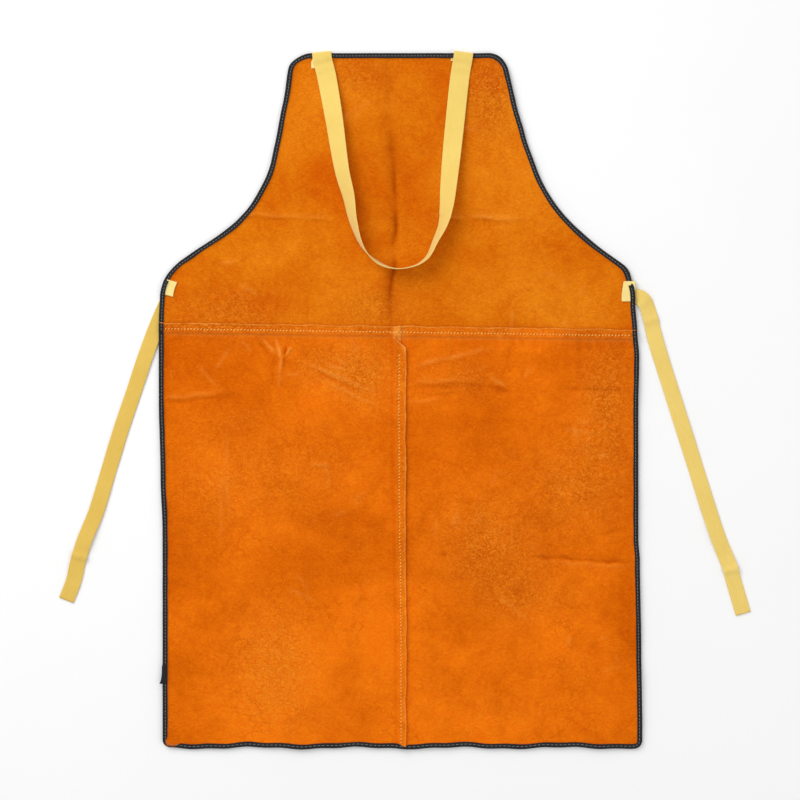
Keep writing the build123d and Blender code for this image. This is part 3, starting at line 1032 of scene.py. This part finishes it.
def folded_tape(name, order, closed, grow=0.0, flare=0.0):
    """Fold a flat strip of tape over the edge along the given stations."""
    bm = bmesh.new()
    columns = len(order) if closed else len(order) - 1
    bmesh.ops.create_grid(bm, x_segments=columns, y_segments=tape_steps, size=0.5)
    strip = bm.loops.layers.uv.new("strip")
    steps = {vert: (round((vert.co.x + 0.5) * columns), round((vert.co.y + 0.5) * tape_steps))
             for vert in bm.verts}
    for face in bm.faces:
        for loop in face.loops:
            column, step = steps[loop.vert]
            loop[strip].uv = (column * outline_step, step * mm)
    for vert, (column, step) in steps.items():
        n = order[column % len(order)]
        inset, height = tape_point(n, step, grow)
        inset -= flare * exp((column - columns) / 4) * (1.0 if 3 < step < 10 else 0.3)
        point, inward = outline[n]
        vert.co = place(point.x + inward.x * inset, point.y + inward.y * inset, height)
    bmesh.ops.remove_doubles(bm, verts=bm.verts[:], dist=1e-6)
    bmesh.ops.recalc_face_normals(bm, faces=bm.faces[:])
    return sewn_on(make_object(name, bm, [dark_tape], thickness=tape), "binding_tape", "edge_binding")


binding = folded_tape("edge_binding_tape", list(range(len(outline))), closed=True)
overlap_start = edge_tree.find((-half_width, -0.345, 0))[1]
overlap = folded_tape("binding_tape_end", list(range(overlap_start, overlap_start + 18)), closed=False,
                      grow=0.7 * mm, flare=3.4 * mm)


# %% Binding stitches
def tape_runs(height, slant):
    """One stitch from each needle hole to the next, slightly slanted along the sides."""
    runs = []
    for first, last in zip(needle_holes, needle_holes[1:] + needle_holes[:1]):
        side = abs(outline[first][1].y) < 0.5
        lean = slant * (1.0 if side else 0.25) + random.gauss(0, 0.08 * mm)
        run = []
        for n, inset in ((first, tape_stitch - lean), (last, tape_stitch + lean)):
            point, inward = outline[n]
            run.append((point.x + inward.x * inset, point.y + inward.y * inset, height(n, inset)))
        start, end = Vector(run[0]), Vector(run[1])
        gap = (end - start) * 0.13
        runs.append([tuple(start + gap), tuple(end - gap)])
    return runs


tape_stitches = tape_runs(lambda n, inset: upper_height(n, inset) + tape / 2 + 0.12 * mm, 0.35 * mm)
tape_stitches += tape_runs(lambda n, inset: 0.05 * mm, -0.3 * mm)
stitch_row("binding_stitches", tape_stitches, 0.36 * mm, grey_thread, "binding_thread", "binding_stitching")

# %% [markdown]
# ## Webbing
#
# Webbing is modelled directly, because it is a flat strap with a firm edge that keeps its width when it
# bends. A rounded section is extruded from station to station of a smooth route. At each station the
# section is set across the route and turned about it, which is how the neck strap gets its half twist.

# %% Smooth routes
def smooth_route(stops, spacing):
    """Evenly spaced points of a smooth line through the stops. The third number goes along too."""
    knots = [0.0]
    for before, after in zip(stops, stops[1:]):
        knots.append(knots[-1] + (after.xy - before.xy).length)
    last = len(stops) - 1
    slopes = []
    for i in range(len(stops)):
        a, b = max(0, i - 1), min(last, i + 1)
        slopes.append((stops[b] - stops[a]) / (knots[b] - knots[a]))
    route, count = [], round(knots[-1] / spacing)
    for n in range(count + 1):
        at = knots[-1] * n / count
        i = max(k for k in range(last) if knots[k] <= at + 1e-9)
        span = knots[i + 1] - knots[i]
        s = (at - knots[i]) / span
        route.append(stops[i] * (1 + 2 * s) * (1 - s) ** 2 + slopes[i] * (span * s * (1 - s) ** 2)
                     + stops[i + 1] * (3 - 2 * s) * s ** 2 + slopes[i + 1] * (span * (s - 1) * s ** 2))
    return route


# %% Straps
section_points = 24


def webbing_strap(name, frames, width, material, node):
    """Extrude the webbing's section along frames of (middle, across, up)."""
    bm = bmesh.new()
    corner = bm.verts.layers.int.new("corner")
    length_at = bm.verts.layers.float.new("length_at")
    strip = bm.loops.layers.uv.new("strip")
    ring = bmesh.ops.create_circle(bm, cap_ends=False, segments=section_points, radius=1.0)["verts"]
    section = []
    for k, vert in enumerate(ring):
        vert[corner] = k
        turn = 2 * pi * (k + 0.5) / section_points
        flat = abs(cos(turn)) ** 0.6 * (1 if cos(turn) > 0 else -1)
        high = abs(sin(turn)) ** 0.25 * (1 if sin(turn) > 0 else -1)
        section.append((flat * width / 2, high * webbing / 2))
    edges, along, before = bm.edges[:], 0.0, frames[0][0]
    verts = ring
    for number, (middle, across, up) in enumerate(frames):
        if number:
            grown = bmesh.ops.extrude_edge_only(bm, edges=edges)["geom"]
            verts = [item for item in grown if isinstance(item, bmesh.types.BMVert)]
            fresh = set(verts)
            edges = [item for item in grown if isinstance(item, bmesh.types.BMEdge)
                     and item.verts[0] in fresh and item.verts[1] in fresh]
        along += (middle - before).length
        before = middle
        for vert in verts:
            flat, high = section[vert[corner]]
            vert.co = middle + across * flat + up * high
            vert[length_at] = along
    bmesh.ops.holes_fill(bm, edges=[edge for edge in bm.edges if edge.is_boundary], sides=section_points)
    bmesh.ops.recalc_face_normals(bm, faces=bm.faces[:])
    for face in bm.faces:
        for loop in face.loops:
            loop[strip].uv = (loop.vert[length_at], section[loop.vert[corner]][0])
    strap = make_object(name, bm, [material])
    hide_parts(node)
    print(f"{name}: {round(along, 3)} m of webbing")
    return strap, along


def frames_along(route, floor, half):
    """(middle, across, up) at each point of a route, standing on `floor` and turned as the route says."""
    frames = []
    middles = [Vector((p.x, p.y, floor(p) + half * abs(sin(p.z)) + webbing / 2 * abs(cos(p.z))))
               for p in route]
    for n, point in enumerate(route):
        along = (middles[min(n + 1, len(route) - 1)] - middles[max(n - 1, 0)]).normalized()
        level = Vector((-along.y, along.x, 0)).normalized()
        across = level * cos(point.z) + Vector((0, 0, 1)) * sin(point.z)
        across = (across - along * across.dot(along)).normalized()
        frames.append((middles[n], across, along.cross(across).normalized()))
    return frames


# %% [markdown]
# ### Neck strap
#
# Each end of the neck webbing is sewn under the bib's edge and turns up round it, so the strap comes
# over the tape and lies down on the bib. The right leg has been given half a turn before it was sewn,
# and that half twist stands on edge at the bottom of the loop, where only a thin line of it shows.

# %% Neck strap
def turn_under(frame, outward, side, low):
    """From a strap's end over the tape, half a turn round the edge and a short run back under it."""
    middle, across, _ = frame
    centre_z = (middle.z + low) / 2
    radius = (middle.z - low) / 2
    frames = []
    for k in range(1, 11):
        turn = pi * k / 10
        spot = middle + outward * (radius * 0.75 * sin(turn))
        normal = Vector((0, 0, 1)) * cos(turn) + outward * sin(turn)
        frames.append((Vector((spot.x, spot.y, centre_z + radius * cos(turn))), across, normal * side))
    for k in range(1, 5):
        spot = middle - outward * (k * 1.8 * mm)
        frames.append((Vector((spot.x, spot.y, low)), across, Vector((0, 0, -side))))
    return frames


# (x, distance below the bib's top edge, turn in degrees), from the left end round to the right
neck_stops = [(-101.5, 0.5, 0), (-100.6, 8, 0), (-97.6, 20, 3), (-95, 31, 7), (-86.5, 79, 22),
              (-75, 153, 42), (-66.5, 186, 53), (-60, 220, 68), (-47.5, 253, 86), (-28.5, 272, 100),
              (-5, 280, 94), (20, 276, 96), (35.5, 265, 101), (46, 244, 107), (56, 222, 118),
              (60.5, 198, 134), (62.5, 176, 145), (67, 131, 160), (72.5, 78, 172), (77, 36, 178),
              (79, 22, 180), (81.5, 8, 180), (82.5, 0.5, 180)]
neck_route = smooth_route([Vector((x * mm, half_length - drop * mm, radians(turn)))
                           for x, drop, turn in neck_stops], 2.6 * mm)
shelf = [(0.0, 1.5), (0.423, 1.5), (0.4315, 2.9), (0.437, 3.0), (0.4425, 4.85), (0.45, 4.9)]


def neck_floor(point):
    """What the neck strap lies on: the bib, the sewn end, then the tape."""
    return rise(point.x, point.y) + along_list(shelf, point.y) * mm


loop_frames = frames_along(neck_route, neck_floor, neck_width / 2)
low = webbing / 2 + 0.1 * mm
outward_left = (loop_frames[0][0] - loop_frames[2][0]).normalized()
outward_right = (loop_frames[-1][0] - loop_frames[-3][0]).normalized()
outward_left.z = outward_right.z = 0
neck_frames = list(reversed(turn_under(loop_frames[0], outward_left, 1, low)))
neck_frames += loop_frames + turn_under(loop_frames[-1], outward_right, -1, low)
neck_strap, neck_length = webbing_strap("neck_webbing_strap", neck_frames, neck_width, neck_webbing,
                                        "neck_strap")
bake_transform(neck_strap)

# %% [markdown]
# ### Waist ties
#
# The ties come out from under the side edges and lie loose on the floor. Webbing that has been folded
# in a packet keeps a crease near its end, and the right tie is rumpled where it leaves the edge.

# %% Waist ties
tie_step = 2.4 * mm           # between the stations of a tie


def tie(name, side, stops, bumps, material, body):
    """One tie along (distance out from the edge, distance below the seam of the tie, turn) stops."""
    edge_x, tie_y = side * half_width, half_length - 309 * mm
    points = [Vector((edge_x + side * out * mm, tie_y - drop * mm, radians(turn)))
              for out, drop, turn in stops]
    route = smooth_route(points, tie_step)
    total = len(route) * tie_step
    lengths = {id(point): n * tie_step for n, point in enumerate(route)}

    def floor(point):
        at = lengths[id(point)]
        wave = 0.5 * mm * (1 + noise_of(point.x, point.y, 25, 3)) * smooth((at - 0.03) / 0.03)
        lifts = sum(height * mm * hump(at - (place_at if place_at > 0 else total + place_at), width * mm)
                    for place_at, height, width in bumps)
        return 0.1 * mm + wave + lifts

    frames = frames_along(route, floor, tie_width / 2)
    strap, length = webbing_strap(name, frames, tie_width, material, body)
    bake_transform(strap)
    return strap, length


left_tie, left_length = tie(
    "left_waist_tie", -1,
    [(-10, 8, 0), (4, 40, 0), (20.5, 84, 2), (36, 131, 0), (52.5, 180, -2), (68, 231, 0),
     (85, 287, 2), (100, 324, 6), (108.5, 352, -4), (114, 376, 0), (123.6, 401.5, 0)],
    [(-0.062, 2.6, 4.0)], painted_shade_webbing, "left_tie")
right_tie, right_length = tie(
    "right_waist_tie", 1,
    [(-10, 6, 0), (2, 8, 4), (9.5, 17, -8), (15.5, 36, -4), (21.5, 62, 2), (38, 115, 0), (58.5, 180, 2),
     (75, 232, 0), (91, 283, -2), (104.5, 323, -6), (118, 357, 4), (124, 378, 0), (136, 419, 0)],
    [(0.017, 2.4, 6.0), (0.045, 1.6, 5.0), (-0.062, 2.6, 4.0)], tie_webbing, "right_tie")

# %% [markdown]
# ### Sewn ends
#
# Inside the edge the cut ends of the webbing stick out from under the tape. They are short flat grids
# set askew, bent down from the tape to the leather, and thickened like the rest.

# %% Sewn ends
def sewn_end(name, middle, inward, width, reach, hollow, slot_name, node):
    """A webbing end: `middle` is the middle of its free end and `inward` the way it points."""
    middle = flat_from_laid(middle.x, middle.y)
    bm = bmesh.new()
    bmesh.ops.create_grid(bm, x_segments=18, y_segments=14, size=0.5)
    strip = bm.loops.layers.uv.new("strip")
    for face in bm.faces:
        for loop in face.loops:
            loop[strip].uv = (loop.vert.co.y * reach, loop.vert.co.x * width)
    inward = inward.normalized()
    side = Vector((-inward.y, inward.x, 0))
    for vert in bm.verts:
        across, back = vert.co.x, 0.5 - vert.co.y
        end = hollow * (1 - 4 * across * across) * (1 - back)
        spot = middle + side * (across * width) - inward * (back * reach + end)
        free = smooth((from_edge(spot.x, spot.y) - leg) / (4 * mm))
        sag = (0.25 * noise_of(spot.x, spot.y, 90, 1) + 0.3) * free * mm
        vert.co = place(spot.x, spot.y, leather + webbing / 2 + edge_lift(spot.x, spot.y) + sag)
    return sewn_on(make_object(name, bm, [end_webbing], thickness=webbing), slot_name, node)


neck_left_end = sewn_end("neck_left_sewn_end", Vector((-0.1026, 0.4312, 0)), Vector((0.02, -1, 0)),
                         neck_width, 15 * mm, 0.0, "neck_webbing", "neck_strap_left_end")
neck_right_end = sewn_end("neck_right_sewn_end", Vector((0.0782, 0.4402, 0)), Vector((-0.03, -1, 0)),
                          neck_width, 7.5 * mm, 0.0, "neck_webbing", "neck_strap_right_end")
left_end = sewn_end("left_tie_sewn_end", Vector((-0.2918, 0.1435, 0)), Vector((0.969, -0.246, 0)),
                    tie_width, 13.5 * mm, 1.2 * mm, "tie_webbing", "left_tie_end")
right_end = sewn_end("right_tie_sewn_end", Vector((0.2892, 0.1411, 0)), Vector((-1, -0.02, 0)), 26 * mm,
                     15.5 * mm, -1.2 * mm, "tie_webbing", "right_tie_end")

# %% [markdown]
# ## Floor, light and camera
#
# The apron is shown on a white floor from straight above. A large soft light to the upper left gives
# the folds their shading. A weaker one opposite and an even white surround keep the shadows pale.

# %% Floor
bm = bmesh.new()
bmesh.ops.create_grid(bm, x_segments=1, y_segments=1, size=4.0)
paper = Finish("floor", roughness=0.9)
paper.set("Base Color", paper.ramp(paper.noise(paper.where(), 3.0), (0.3, 0.90), (0.7, 0.915)))
floor = make_object("floor", bm, [paper.material])

# %% Light
world = bpy.data.worlds.new("white_surround")
world.use_nodes = True
world.node_tree.nodes["Background"].inputs["Color"].default_value = (1, 1, 1, 1)
world.node_tree.nodes["Background"].inputs["Strength"].default_value = 0.66
bpy.context.scene.world = world


def soft_light(name, position, size, watts):
    """A square soft light aimed at the middle of the apron."""
    lamp = bpy.data.lights.new(name, "AREA")
    lamp.size = size
    lamp.energy = watts
    lamp_object = bpy.data.objects.new(name, lamp)
    lamp_object.location = position
    lamp_object.rotation_euler = (-Vector(position)).to_track_quat("-Z", "Y").to_euler()
    bpy.context.scene.collection.objects.link(lamp_object)


soft_light("key_light", (-1.6, 1.7, 1.9), 2.0, 56)
soft_light("fill_light", (1.8, -1.2, 2.4), 1.6, 14)
bpy.context.scene.view_settings.view_transform = "Standard"

# %% Camera
view_width = 1.04             # how much of the floor the picture takes in
camera_data = bpy.data.cameras.new("camera")
camera_data.lens = 85
camera_data.sensor_width = 36
camera = bpy.data.objects.new("camera", camera_data)
camera.location = (0, 0, view_width * 85 / 36 + 3 * mm)
bpy.context.scene.collection.objects.link(camera)
bpy.context.scene.camera = camera
